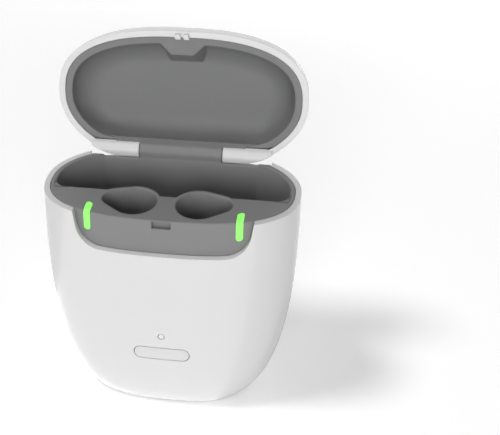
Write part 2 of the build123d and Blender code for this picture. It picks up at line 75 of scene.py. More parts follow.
class Graph:
    """Thin wrapper that adds and links shader nodes in one tree."""

    def __init__(self, tree: bpy.types.NodeTree) -> None:
        """Keeps the tree.

        Args:
            tree: Node tree that receives the nodes.
        """
        self.tree = tree

    def add(self, kind: str, **values: object) -> bpy.types.Node:
        """Adds one node and sets its attributes or its inputs' constants.

        Args:
            kind: Node type name.
            **values: Attribute names, or input names with underscores for spaces.

        Returns:
            The new node.
        """
        node = self.tree.nodes.new(kind)
        for name, value in values.items():
            if hasattr(node, name):
                setattr(node, name, value)
            else:
                node.inputs[name.replace("_", " ")].default_value = value
        return node

    def link(self, source: bpy.types.NodeSocket, target: bpy.types.NodeSocket) -> None:
        """Links one output to one input."""
        self.tree.links.new(source, target)

    def math(self, operation: str, *values: object) -> bpy.types.NodeSocket:
        """Adds a math node on sockets or numbers.

        Args:
            operation: Math operation name.
            *values: Socket or number for each input in turn.

        Returns:
            The node's output socket.
        """
        node = self.tree.nodes.new("ShaderNodeMath")
        node.operation = operation
        for index, value in enumerate(values):
            if isinstance(value, bpy.types.NodeSocket):
                self.link(value, node.inputs[index])
            else:
                node.inputs[index].default_value = value
        return node.outputs[0]

    def seen_rays(self) -> bpy.types.NodeSocket:
        """Marks the rays of the camera, of gloss and of what is seen through something.

        Returns:
            Socket that is 1 on those rays and 0 on the light that bounces between surfaces.
        """
        path = self.add("ShaderNodeLightPath")
        seen = self.math("MAXIMUM", path.outputs["Is Camera Ray"], path.outputs["Is Glossy Ray"])
        return self.math("MAXIMUM", seen, path.outputs["Is Transmission Ray"])


def new_group(
    name: str, inputs: Sequence[tuple[str, str, object]], outputs: Sequence[tuple[str, str]]
) -> Graph:
    """Makes an empty shader node group with named sockets.

    Args:
        name: Name of the group.
        inputs: Name, socket type and default of each input.
        outputs: Name and socket type of each output.

    Returns:
        A graph on the new group's tree.
    """
    tree = bpy.data.node_groups.new(name, "ShaderNodeTree")
    for label, kind, value in inputs:
        socket = tree.interface.new_socket(name=label, in_out="INPUT", socket_type=kind)
        socket.default_value = value
    for label, kind in outputs:
        tree.interface.new_socket(name=label, in_out="OUTPUT", socket_type=kind)
    return Graph(tree)


def build_grain_group() -> bpy.types.NodeTree:
    """Fine spark-eroded grain of moulded plastic, as a roughness and a normal.

    Returns:
        The node group.
    """
    graph = new_group(
        "moulded_grain",
        [
            ("Grain Size", FLOAT, 0.0004),
            ("Grain Depth", FLOAT, 0.1),
            ("Roughness", FLOAT, 0.4),
            ("Spread", FLOAT, 0.06),
            ("Edge Radius", FLOAT, 0.0003),
        ],
        [("Roughness", FLOAT), ("Normal", VECTOR)],
    )
    source = graph.add("NodeGroupInput")
    sink = graph.add("NodeGroupOutput")
    place = graph.add("ShaderNodeTexCoord")
    scale = graph.math("DIVIDE", 1.0, source.outputs["Grain Size"])
    fine = graph.add("ShaderNodeTexNoise", Detail=3.0)
    graph.link(place.outputs["Object"], fine.inputs["Vector"])
    graph.link(scale, fine.inputs["Scale"])
    broad = graph.add("ShaderNodeTexNoise", Scale=70.0, Detail=4.0)
    graph.link(place.outputs["Object"], broad.inputs["Vector"])
    drift = graph.math("SUBTRACT", broad.outputs["Fac"], 0.5)
    swing = graph.math("MULTIPLY", drift, source.outputs["Spread"])
    graph.link(graph.math("ADD", source.outputs["Roughness"], swing), sink.inputs["Roughness"])
    bump = graph.add("ShaderNodeBump", Distance=0.00003)
    graph.link(source.outputs["Grain Depth"], bump.inputs["Strength"])
    graph.link(fine.outputs["Fac"], bump.inputs["Height"])
    edge = graph.add("ShaderNodeBevel", samples=6)
    graph.link(source.outputs["Edge Radius"], edge.inputs["Radius"])
    graph.link(edge.outputs["Normal"], bump.inputs["Normal"])
    graph.link(bump.outputs["Normal"], sink.inputs["Normal"])
    return graph.tree


def build_tone_group() -> bpy.types.NodeTree:
    """Slow drift of tone over a moulded surface, with a little dust in its hollows.

    Returns:
        The node group.
    """
    graph = new_group(
        "surface_tone",
        [("Base", COLOUR, (0.8, 0.8, 0.8, 1.0)), ("Drift", FLOAT, 0.03), ("Dust", FLOAT, 0.1)],
        [("Colour", COLOUR)],
    )
    source = graph.add("NodeGroupInput")
    sink = graph.add("NodeGroupOutput")
    place = graph.add("ShaderNodeTexCoord")
    cloud = graph.add("ShaderNodeTexNoise", Scale=28.0, Detail=5.0, Roughness=0.55)
    graph.link(place.outputs["Object"], cloud.inputs["Vector"])
    lift = graph.math("MULTIPLY", graph.math("SUBTRACT", cloud.outputs["Fac"], 0.5), source.outputs["Drift"])
    tone = graph.add("ShaderNodeHueSaturation")
    graph.link(source.outputs["Base"], tone.inputs["Color"])
    graph.link(graph.math("ADD", 1.0, lift), tone.inputs["Value"])
    shape = graph.add("ShaderNodeNewGeometry")
    hollow = graph.add("ShaderNodeMapRange", From_Min=0.40, From_Max=0.48, To_Min=1.0, To_Max=0.0)
    graph.link(shape.outputs["Pointiness"], hollow.inputs["Value"])
    mask = graph.math("MULTIPLY", hollow.outputs["Result"], source.outputs["Dust"])
    mix = graph.add("ShaderNodeMix", data_type="RGBA")
    graph.link(mask, mix.inputs[MIX_FACTOR])
    graph.link(tone.outputs["Color"], mix.inputs[MIX_FIRST])
    mix.inputs[MIX_SECOND].default_value = DUST_TONE
    graph.link(mix.outputs[MIX_RESULT], sink.inputs["Colour"])
    return graph.tree


class Groups:
    """Shader node groups that several finishes share, each built once."""

    def __init__(self) -> None:
        """Builds the groups."""
        self.grain = build_grain_group()
        self.tone = build_tone_group()


def opaque(colour: Colour, share: float = 1.0) -> tuple[float, float, float, float]:
    """Returns a share of a colour, with full alpha."""
    return (*(value * share for value in colour), 1.0)


def start_material(name: str) -> tuple[bpy.types.Material, Graph, bpy.types.Node]:
    """Makes a material on the standard shader.

    Args:
        name: Name of the material.

    Returns:
        The material, a graph on its nodes, and its shader.
    """
    material = bpy.data.materials.new(name)
    material.use_nodes = True
    graph = Graph(material.node_tree)
    return material, graph, material.node_tree.nodes["Principled BSDF"]


@dataclass(frozen=True)
class PlasticFinish:
    """Moulded plastic with its grain, drift of tone and sheen."""

    name: str
    colour: Colour
    roughness: float
    grain_size: float = 0.0004
    grain_depth: float = 0.12
    drift: float = 0.03
    dust: float = 0.06
    coat: float = 0.0
    specular: float = 0.5
    edge_radius: float = 0.00035
    glow: Colour | None = None
    glow_strength: float = 0.0
    coat_roughness: float = 0.07

    def build(self, groups: Groups) -> bpy.types.Material:
        """Builds the material.

        Args:
            groups: Shared shader node groups.

        Returns:
            The new material.
        """
        material, graph, shader = start_material(self.name)
        tone = graph.add(
            "ShaderNodeGroup",
            node_tree=groups.tone,
            Base=opaque(self.colour),
            Drift=self.drift,
            Dust=self.dust,
        )
        graph.link(tone.outputs["Colour"], shader.inputs["Base Color"])
        grain = graph.add(
            "ShaderNodeGroup",
            node_tree=groups.grain,
            Grain_Size=self.grain_size,
            Grain_Depth=self.grain_depth,
            Roughness=self.roughness,
            Edge_Radius=self.edge_radius,
        )
        graph.link(grain.outputs["Roughness"], shader.inputs["Roughness"])
        graph.link(grain.outputs["Normal"], shader.inputs["Normal"])
        shader.inputs["Coat Weight"].default_value = self.coat
        shader.inputs["Coat Roughness"].default_value = self.coat_roughness
        shader.inputs["Specular IOR Level"].default_value = self.specular
        if self.glow is not None:
            shader.inputs["Emission Color"].default_value = opaque(self.glow)
            shader.inputs["Emission Strength"].default_value = self.glow_strength
        return material


@dataclass(frozen=True)
class MetalFinish:
    """Bare or plated metal with fine machining marks along one axis."""

    name: str
    colour: Colour
    roughness: float
    stretch: Point = (1.0, 1.0, 12.0)
    mark_scale: float = 900.0
    mark_depth: float = 0.08
    drift: float = 0.12
    roughness_swing: float = 0.2

    def build(self, groups: Groups) -> bpy.types.Material:
        """Builds the material.

        Args:
            groups: Shared shader node groups.

        Returns:
            The new material.
        """
        material, graph, shader = start_material(self.name)
        shader.inputs["Metallic"].default_value = 1.0
        tone = graph.add(
            "ShaderNodeGroup", node_tree=groups.tone, Base=opaque(self.colour), Drift=self.drift, Dust=0.0
        )
        graph.link(tone.outputs["Colour"], shader.inputs["Base Color"])
        place = graph.add("ShaderNodeTexCoord")
        turn = graph.add("ShaderNodeMapping", Scale=self.stretch)
        marks = graph.add("ShaderNodeTexNoise", Scale=self.mark_scale, Detail=4.0)
        graph.link(place.outputs["Object"], turn.inputs["Vector"])
        graph.link(turn.outputs["Vector"], marks.inputs["Vector"])
        low = self.roughness - self.roughness_swing / 2
        rough = graph.math("MULTIPLY_ADD", marks.outputs["Fac"], self.roughness_swing, low)
        graph.link(rough, shader.inputs["Roughness"])
        bump = graph.add("ShaderNodeBump", Strength=self.mark_depth, Distance=0.00002)
        graph.link(marks.outputs["Fac"], bump.inputs["Height"])
        graph.link(bump.outputs["Normal"], shader.inputs["Normal"])
        return material


@dataclass(frozen=True)
class BoardFinish:
    """Solder mask over copper tracks, in a brick-like pattern of traces."""

    name: str
    mask: Colour
    track: Colour
    pitch: float = 900.0
    second_share: float = 0.8
    grain_size: float = 0.0006
    roughness: float = 0.35
    coat: float = 0.4

    def build(self, groups: Groups) -> bpy.types.Material:
        """Builds the material.

        Args:
            groups: Shared shader node groups.

        Returns:
            The new material.
        """
        material, graph, shader = start_material(self.name)
        place = graph.add("ShaderNodeTexCoord")
        cells = graph.add(
            "ShaderNodeTexBrick",
            Scale=self.pitch,
            Mortar_Size=0.03,
            Brick_Width=0.9,
            Row_Height=0.3,
            Color1=opaque(self.mask),
            Color2=opaque(self.mask, self.second_share),
            Mortar=opaque(self.track),
        )
        graph.link(place.outputs["Object"], cells.inputs["Vector"])
        graph.link(cells.outputs["Color"], shader.inputs["Base Color"])
        grain = graph.add(
            "ShaderNodeGroup", node_tree=groups.grain, Grain_Size=self.grain_size, Roughness=self.roughness
        )
        graph.link(grain.outputs["Roughness"], shader.inputs["Roughness"])
        graph.link(grain.outputs["Normal"], shader.inputs["Normal"])
        shader.inputs["Coat Weight"].default_value = self.coat
        return material


@dataclass(frozen=True)
class WindingFinish:
    """Enamelled copper wire wound flat round the middle of each coil."""

    name: str
    colour: Colour
    centre: tuple[float, float]
    wire: float = 0.0004
    roughness: float = 0.32
    gap_share: float = 0.4

    def build(self, groups: Groups) -> bpy.types.Material:
        """Builds the material.

        Args:
            groups: Shared shader node groups; not used here.

        Returns:
            The new material.
        """
        material, graph, shader = start_material(self.name)
        shader.inputs["Metallic"].default_value = 1.0
        shader.inputs["Roughness"].default_value = self.roughness
        place = graph.add("ShaderNodeTexCoord")
        shift = graph.add("ShaderNodeMapping", Location=(-self.centre[0], -self.centre[1], 0.0))
        graph.link(place.outputs["Object"], shift.inputs["Vector"])
        rings = graph.add(
            "ShaderNodeTexWave", wave_type="RINGS", rings_direction="Z", Scale=0.5 / self.wire, Distortion=0.2
        )
        graph.link(shift.outputs["Vector"], rings.inputs["Vector"])
        ramp = graph.add("ShaderNodeValToRGB")
        ramp.color_ramp.elements[0].color = opaque(self.colour, self.gap_share)
        ramp.color_ramp.elements[1].color = opaque(self.colour)
        graph.link(rings.outputs["Fac"], ramp.inputs["Fac"])
        graph.link(ramp.outputs["Color"], shader.inputs["Base Color"])
        bump = graph.add("ShaderNodeBump", Strength=0.6, Distance=0.0001)
        graph.link(rings.outputs["Fac"], bump.inputs["Height"])
        graph.link(bump.outputs["Normal"], shader.inputs["Normal"])
        return material


Finish = PlasticFinish | MetalFinish | BoardFinish | WindingFinish

WHITE = PlasticFinish(
    "white_moulding",
    (0.80, 0.79, 0.79),
    0.30,
    drift=0.012,
    dust=0.0,
    coat=0.7,
    specular=0.4,
    edge_radius=0.0005,
)
BUTTON_WHITE = PlasticFinish(
    "white_button", (0.79, 0.78, 0.78), 0.34, drift=0.012, dust=0.0, edge_radius=0.0002
)
LENS = PlasticFinish(
    "status_lens", (0.83, 0.83, 0.83), 0.22, drift=0.01, dust=0.0, coat=0.4, edge_radius=0.0001
)
GREY = PlasticFinish(
    "grey_moulding", (0.236, 0.237, 0.238), 0.48, grain_depth=0.3, drift=0.05, dust=0.03, edge_radius=0.0009
)
# The tray's grey made darker: painted shade inside the lid.
SHADED_LINER_GREY = PlasticFinish("liner_grey_painted_shade", (0.208, 0.209, 0.210), 0.48, grain_depth=0.3, drift=0.05, dust=0.03)
BAR_GREEN = PlasticFinish(
    "lit_light_bar",
    (0.16, 0.46, 0.10),
    0.3,
    drift=0.02,
    dust=0.0,
    glow=(0.27, 1.0, 0.14),
    glow_strength=0.78,
    edge_radius=0.0002,
)
LAMP = PlasticFinish("lamp_resin", (0.75, 0.72, 0.48), 0.3, drift=0.02, dust=0.0, coat=0.4)
DARK = PlasticFinish("dark_moulding", (0.03, 0.03, 0.033), 0.5, drift=0.1)
# Near-black, barely glossy finish: painted shade in the gap round the button.
GAP_SHADE = PlasticFinish("painted_gap_shade", (0.015, 0.015, 0.016), 0.8, drift=0.05, specular=0.1, edge_radius=0.0001)
RUBBER = PlasticFinish(
    "foot_rubber", (0.045, 0.045, 0.047), 0.75, grain_size=0.0007, grain_depth=0.5, specular=0.3
)
STEEL = MetalFinish("plated_steel", (0.62, 0.62, 0.64), 0.3)
NICKEL = MetalFinish("bright_nickel", (0.70, 0.69, 0.66), 0.2, mark_scale=400.0)
FOIL = MetalFinish("battery_wrap", (0.60, 0.62, 0.66), 0.42, stretch=(1.0, 14.0, 14.0))
BOARD = BoardFinish("solder_mask", (0.03, 0.17, 0.08), (0.16, 0.36, 0.14))
LEFT_COIL = WindingFinish("left_winding", (0.75, 0.36, 0.17), (-10.3 * MM, -11.0 * MM))
RIGHT_COIL = WindingFinish("right_winding", (0.75, 0.36, 0.17), (10.3 * MM, -11.0 * MM))


MOUTH_SLOPE = math.radians(7.5)
MOUTH_STRETCH = 1 / math.cos(MOUTH_SLOPE)
RIM_HEIGHT = 74.0
HINGE = (18.9, 0.8)
LID_OPEN = math.radians(101.0)
MOUTH_PLACE = Matrix.Translation((0.0, 0.0, RIM_HEIGHT)) @ Matrix.Rotation(MOUTH_SLOPE, 4, "X")
LID_PLACE = (
    MOUTH_PLACE
    @ Matrix.Translation((0.0, *HINGE))
    @ Matrix.Rotation(-LID_OPEN, 4, "X")
    @ Matrix.Translation((0.0, -HINGE[0], -HINGE[1]))
)


def signed_power(value: float, power: float) -> float:
    """Raises a number's size to a power and keeps its sign."""
    return math.copysign(abs(value) ** power, value)


@dataclass(frozen=True)
class Oval:
    """The charger's plan outline: fuller in front, flattened where the hinge sits. Sizes in millimetres."""

    half_width: float = 42.0
    front: float = 22.8
    back: float = 25.2
    flat: float = 21.85
    front_power: float = 2.6
    back_power: float = 2.05
    flat_power: float = 14.0

    def inset(self, amount: float) -> "Oval":
        """Returns the same oval drawn in all round."""
        return replace(
            self,
            half_width=self.half_width - amount,
            front=self.front - amount,
            back=self.back - amount,
            flat=self.flat - amount,
        )

    def scaled(self, share: float) -> "Oval":
        """Returns the same oval at a share of its size."""
        return replace(
            self,
            half_width=self.half_width * share,
            front=self.front * share,
            back=self.back * share,
            flat=self.flat * share,
        )

    def point(self, turn: float) -> tuple[float, float]:
        """Gives one point of the outline.

        Args:
            turn: Angle round the oval, from the right-hand end.

        Returns:
            X and Y.
        """
        behind = math.sin(turn) > 0
        power = self.back_power if behind else self.front_power
        x = self.half_width * signed_power(math.cos(turn), 2 / power)
        y = (self.back if behind else self.front) * signed_power(math.sin(turn), 2 / power)
        if behind:
            y = y / (1 + (y / self.flat) ** self.flat_power) ** (1 / self.flat_power)
        return x, y

    def front_y(self, x: float) -> float:
        """Gives Y on the front half of the outline at one X."""
        share = min(abs(x) / self.half_width, 1.0)
        return -self.front * (1 - share**self.front_power) ** (1 / self.front_power)

    def front_x(self, y: float) -> float:
        """Gives the half width on the front half of the outline at one Y."""
        share = abs(y) / self.front
        return self.half_width * (1 - share**self.front_power) ** (1 / self.front_power)


MOUTH = replace(Oval(), front=Oval.front * MOUTH_STRETCH, back=Oval.back * MOUTH_STRETCH)


def make_piece(
    name: str,
    points: Sequence[Sequence[float]],
    faces: Sequence[Sequence[int]],
    material: bpy.types.Material,
    place: Matrix | None = None,
) -> bpy.types.Object:
    """Makes a mesh piece from points in millimetres.

    Args:
        name: Name of the piece.
        points: Corner places in millimetres.
        faces: Corner numbers of each face.
        material: Material of the whole piece.
        place: Turn and shift from the points' frame to the charger's frame, in millimetres.

    Returns:
        The new object.
    """
    mesh = bpy.data.meshes.new(name)
    turn = place or Matrix.Identity(4)
    corners = [tuple((turn @ Vector(point)) * MM) for point in points]
    mesh.from_pydata(corners, [], [tuple(face) for face in faces])
    work = bmesh.new()
    work.from_mesh(mesh)
    bmesh.ops.remove_doubles(work, verts=work.verts, dist=MERGE_DISTANCE)
    bmesh.ops.recalc_face_normals(work, faces=work.faces)
    for face in work.faces:
        face.smooth = True
    for edge in work.edges:
        edge.smooth = edge.is_manifold and edge.calc_face_angle(0.0) < SMOOTH_ANGLE
    work.to_mesh(mesh)
    work.free()
    mesh.materials.append(material)
    piece = bpy.data.objects.new(name, mesh)
    bpy.context.scene.collection.objects.link(piece)
    log.info("made %s with %d faces", name, len(mesh.polygons))
    return piece


def ring_faces(rings: int, count: int, caps: bool = True) -> list[tuple[int, ...]]:
    """Joins closed rings of equal count into a skin.

    Args:
        rings: Number of rings.
        count: Points in each ring.
        caps: Whether the first and last ring are closed with one face.

    Returns:
        Corner numbers of the faces.
    """
    faces: list[tuple[int, ...]] = []
    for ring in range(rings - 1):
        low = ring * count
        high = low + count
        for step in range(count):
            after = (step + 1) % count
            faces.append((low + step, low + after, high + after, high + step))
    if caps:
        faces.append(tuple(range(count - 1, -1, -1)))
        last = (rings - 1) * count
        faces.append(tuple(range(last, last + count)))
    return faces


def pill_ring(half_long: float, half_high: float, count: int, straight_steps: int = 1) -> Outline:
    """Points of a pill outline that is long along its first axis.

    Args:
        half_long: Half of the whole length.
        half_high: Half of the height, and the radius of the ends.
        count: Points at each end.
        straight_steps: Parts that each straight side is cut into.

    Returns:
        Pairs of places along and across, evenly matched across the pill's middle.
    """
    straight = half_long - half_high
    ring = []
    for side in (1, -1):
        for step in range(count):
            turn = -math.pi / 2 + math.pi * step / (count - 1)
            ring.append((side * (straight + half_high * math.cos(turn)), side * half_high * math.sin(turn)))
        for step in range(1, straight_steps):
            ring.append((side * straight * (1 - 2 * step / straight_steps), side * half_high))
    return ring


def soften(piece: bpy.types.Object, width: float, segments: int = 3, angle: float = 30.0) -> None:
    """Rounds a piece's sharp edges.

    Args:
        piece: Piece to round.
        width: Width of the rounding in millimetres.
        segments: Faces across the rounding.
        angle: Edges that fold by more than this many degrees are rounded.
    """
    bevel = piece.modifiers.new("rounding", "BEVEL")
    bevel.width = width * MM
    bevel.segments = segments
    bevel.limit_method = "ANGLE"
    bevel.angle_limit = math.radians(angle)
    bevel.harden_normals = True


def dress(name: str, material: bpy.types.Material) -> bpy.types.Object:
    """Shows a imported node's own shape in one material.

    Args:
        name: Node name.
        material: Material to show on the whole node.

    Returns:
        The node's object.
    """
    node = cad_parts[name]
    node.data.materials.clear()
    node.data.materials.append(material)
    log.info("dressed %s with %s", name, material.name)
    return node


@dataclass
class Dressing:
    """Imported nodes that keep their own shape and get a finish."""

    finishes: dict[str, Finish] = field(default_factory=dict)

    def build(self, groups: Groups) -> None:
        """Dresses each node, building each finish once.

        Args:
            groups: Shared shader node groups.
        """
        made: dict[str, bpy.types.Material] = {}
        for node, finish in self.finishes.items():
            if finish.name not in made:
                made[finish.name] = finish.build(groups)
            dress(node, made[finish.name])


@dataclass
class Electronics(Dressing):
    """Boards, battery, coils, lamps and fasteners inside the pot."""

    finishes: dict[str, Finish] = field(
        default_factory=lambda: {
            "main_board": BOARD,
            "front_board": BOARD,
            "charging_board": BOARD,
            "left_charging_coil": LEFT_COIL,
            "right_charging_coil": RIGHT_COIL,
            "battery_cell": FOIL,
            "battery_cradle": DARK,
            "switch_plunger": DARK,
            "button_switch": STEEL,
            "power_socket": STEEL,
            "cradle_screws": STEEL,
            "front_screws": STEEL,
            "tray_screws": STEEL,
            "base_screws": STEEL,
            "hinge_pin": STEEL,
            "tray_magnet": NICKEL,
            "lid_magnet": NICKEL,
            "side_lamps": LAMP,
            "status_lamp": LAMP,
        }
    )


@dataclass
class Casing(Dressing):
    """Pot, lid, tray, button and foot that show from outside."""

    finishes: dict[str, Finish] = field(
        default_factory=lambda: {
            "outer_shell": WHITE,
            "lid_shell": WHITE,
            "base_plate": WHITE,
            "front_button": BUTTON_WHITE,
            "charging_tray": GREY,
            "foot_pad": RUBBER,
        }
    )


@dataclass
class LightBar:
    """Lit lens that runs up the front of the tray and over the edge of its deck. Sizes in millimetres."""

    middle: float = 24.1
    width: float = 2.25
    drop: float = 6.56
    over: float = 4.95
    bend: float = 1.3
    proud: float = 0.16
    sunk: float = 0.5
    wall: Oval = field(default_factory=lambda: Oval().inset(2.1))
    long_steps: int = 40
    cross_steps: int = 14
    face_levels: int = 5
    face_round: float = 0.75
    slope_step: float = 0.01

    def surface(self, x: float, run: float) -> tuple[Vector, Vector]:
        """Finds a place on the tray's front or deck.

        Args:
            x: Place across the charger.
            run: Distance down the front from the deck's edge, less than zero on the deck.

        Returns:
            The place and the direction that leaves the surface there.
        """
        y = self.wall.front_y(x)
        ahead, behind = self.wall.front_y(x + self.slope_step), self.wall.front_y(x - self.slope_step)
        slope = (ahead - behind) / (2 * self.slope_step)
        out = Vector((slope, -1.0, 0.0)).normalized()
        edge = Vector((x, y, RIM_HEIGHT + y * math.tan(MOUTH_SLOPE)))
        inward = Vector((0.0, math.cos(MOUTH_SLOPE), math.sin(MOUTH_SLOPE)))
        up = Vector((0.0, -math.sin(MOUTH_SLOPE), math.cos(MOUTH_SLOPE)))
        if run >= self.bend:
            return edge + Vector((0.0, 0.0, -run)), out
        if run <= -self.bend:
            return edge + inward * -run, up
        share = (run + self.bend) / (2 * self.bend)
        start = edge + inward * self.bend
        finish = edge + Vector((0.0, 0.0, -self.bend))
        place = start * (1 - share) ** 2 + edge * 2 * share * (1 - share) + finish * share**2
        return place, up.lerp(out, share).normalized()

    def cap_faces(self, first: int, count: int) -> list[tuple[int, ...]]:
        """Closes one ring with strips from side to side, so that it bends with the surface.

        Args:
            first: Number of the ring's first point.
            count: Points in the ring.

        Returns:
            Corner numbers of the faces.
        """
        faces = []
        for low in range(self.cross_steps // 2 - 1):
            high = self.cross_steps - 1 - low
            faces.append((low, low + 1, high - 1, high))
        for step in range((count - self.cross_steps) // 2):
            high = self.cross_steps - 1 + step
            faces.append((-step % count, high, high + 1, (-step - 1) % count))
        return [tuple(first + corner for corner in face) for face in faces]

    def build(self, name: str, node: str, side: int, material: bpy.types.Material) -> bpy.types.Object:
        """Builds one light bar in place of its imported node.

        Args:
            name: Name of the piece.
            node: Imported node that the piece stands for.
            side: 1 for the right-hand bar, -1 for the left-hand bar.
            material: Lit material.

        Returns:
            The new piece.
        """
        half_long = (self.drop + self.over) / 2
        half = self.width / 2
        levels = [(0.0, -self.sunk)]
        for level in range(self.face_levels + 1):
            share = level / self.face_levels
            shrink = half * (1 - math.sqrt(1 - (self.face_round * share) ** 2))
            levels.append((shrink, self.proud * (1 - (1 - share) ** 2)))
        points = []
        for shrink, height in levels:
            ring = pill_ring(half_long - shrink, half - shrink, self.cross_steps, self.long_steps)
            for along, across in ring:
                run = along + (self.drop - self.over) / 2
                place, out = self.surface(self.middle + across, run)
                place = place + out * height
                points.append((side * place.x, place.y, place.z))
        count = len(points) // len(levels)
        faces = ring_faces(len(levels), count, caps=False)
        for first in (0, (len(levels) - 1) * count):
            faces.extend(self.cap_faces(first, count))
        piece = make_piece(name, points, faces, material)
        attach(piece, Body.BASE.value)
        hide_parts(node)
        return piece


@dataclass
class FrontTrim:
    """Lens of the status light and a near-black sheet in the gap round the button, as painted shade of the
    gap. Sizes in millimetres.
    """

    lens_height: float = 29.6
    lens_front: float = 22.62
    lens_radius: float = 0.93
    lens_dome: float = 0.12
    lens_shoulder: float = 0.1
    lens_sweep: float = 85.0
    lens_steps: int = 6
    lens_sides: int = 36
    lens_back: float = 16.8
    button_height: float = 22.7
    button_half_long: float = 9.1
    button_half_high: float = 2.2
    gap: float = 0.2
    gap_shade_play: float = 0.02
    gap_shade_steps: int = 16
    gap_shade_front: float = 22.0
    gap_shade_back: float = 21.2

    def build_lens(self, material: bpy.types.Material) -> bpy.types.Object:
        """Builds the domed lens on its stem.

        Args:
            material: Clear white finish.

        Returns:
            The new piece.
        """
        shoulder = self.lens_front - self.lens_shoulder
        profile = [(self.lens_radius, self.lens_back), (self.lens_radius, shoulder)]
        for step in range(1, self.lens_steps + 1):
            turn = math.radians(self.lens_sweep * step / self.lens_steps)
            profile.append((self.lens_radius * math.cos(turn), shoulder + self.lens_dome * math.sin(turn)))
        count = self.lens_sides
        points = []
        for radius, out in profile:
            for step in range(count):
                turn = 2 * math.pi * step / count
                points.append((radius * math.cos(turn), -out, self.lens_height + radius * math.sin(turn)))
        piece = make_piece("status_lens", points, ring_faces(len(profile), count), material)
        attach(piece, Body.BASE.value)
        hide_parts("status_light")
        return piece

    def build_gap_shade(self, material: bpy.types.Material) -> bpy.types.Object:
        """Builds the thin near-black sheet that closes the gap round the button and paints the gap's shade.

        Args:
            material: Near-black finish that paints the shade in the gap.

        Returns:
            The new piece.
        """
        outer, inner = (
            pill_ring(self.button_half_long + grow, self.button_half_high + grow, self.gap_shade_steps)
            for grow in (self.gap, self.gap_shade_play)
        )
        sections = (
            (outer, self.gap_shade_front),
            (outer, self.gap_shade_back),
            (inner, self.gap_shade_back),
            (inner, self.gap_shade_front),
        )
        points = []
        for ring, depth in sections:
            points.extend((along, -depth, self.button_height + across) for along, across in ring)
        count = len(outer)
        faces = ring_faces(len(sections), count, caps=False)
        last = (len(sections) - 1) * count
        for step in range(count):
            after = (step + 1) % count
            faces.append((last + step, last + after, after, step))
        piece = make_piece("painted_gap_shade", points, faces, material)
        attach(piece, Body.BASE.value)
        return piece


@dataclass
class LatchSlot:
    """Shallow moulded cup that closes the back of the latch slot in the tray. Sizes in millimetres."""

    half_width: float = 2.94
    low: float = -2.94
    high: float = -0.46
    mouth: float = -20.5
    depth: float = 0.95
    draft: float = 0.3
    back: float = 0.5
    lip: float = 0.25
    rounding: float = 0.12

    def build(self, material: bpy.types.Material) -> bpy.types.Object:
        """Builds the cup in the tray's front.

        Args:
            material: Grey finish of the tray.

        Returns:
            The new piece.
        """
        floor = self.mouth + self.depth
        rim = [(-1, self.low), (1, self.low), (1, self.high), (-1, self.high)]
        middle = (self.low + self.high) / 2
        points = []
        for draw, front in ((0.0, self.mouth + self.lip), (self.draft, floor)):
            for side, height in rim:
                tall = height + math.copysign(draw, middle - height)
                points.append((side * (self.half_width - draw), front, tall))
        for side, height in rim:
            points.append((side * self.half_width, floor + self.back, height))
        faces = [(0, 1, 5, 4), (1, 2, 6, 5), (2, 3, 7, 6), (3, 0, 4, 7), (4, 5, 6, 7)]
        faces += [(0, 8, 9, 1), (1, 9, 10, 2), (2, 10, 11, 3), (3, 11, 8, 0), (8, 11, 10, 9)]
        piece = make_piece("latch_slot_cup", points, faces, material, MOUTH_PLACE)
        soften(piece, self.rounding, segments=2)
        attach(piece, Body.BASE.value)
        return piece


@dataclass
class WellCorner:
    """Rounded fill in the front corners of the well behind the deck. Sizes in millimetres."""

    wall: Oval = field(default_factory=lambda: Oval().inset(3.6))
    front: float = -5.7
    along: float = 4.2
    up: float = 4.0
    low: float = 58.0
    sunk: float = 0.5
    steps: int = 12

    def build(self, name: str, side: int, material: bpy.types.Material) -> bpy.types.Object:
        """Builds one corner.

        Args:
            name: Name of the piece.
            side: 1 for the right-hand corner, -1 for the left-hand one.
            material: Grey finish of the tray.

        Returns:
            The new piece.
        """
        corner = Vector((self.wall.front_x(self.front), self.front))
        start = Vector((corner.x - self.along, self.front))
        finish = Vector((self.wall.front_x(self.front + self.up), self.front + self.up))
        outline = [start + Vector((0.0, -self.sunk)), corner + Vector((self.sunk, -self.sunk))]
        outline.append(finish + Vector((self.sunk, 0.0)))
        for step in range(self.steps + 1):
            share = 1 - step / self.steps
            outline.append(start * (1 - share) ** 2 + corner * 2 * share * (1 - share) + finish * share**2)
        points = []
        for top in (False, True):
            for place in outline:
                level = RIM_HEIGHT + place.y * math.tan(MOUTH_SLOPE)
                points.append((side * place.x, place.y, level if top else self.low))
        piece = make_piece(name, points, ring_faces(2, len(outline)), material)
        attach(piece, Body.BASE.value)
        return piece


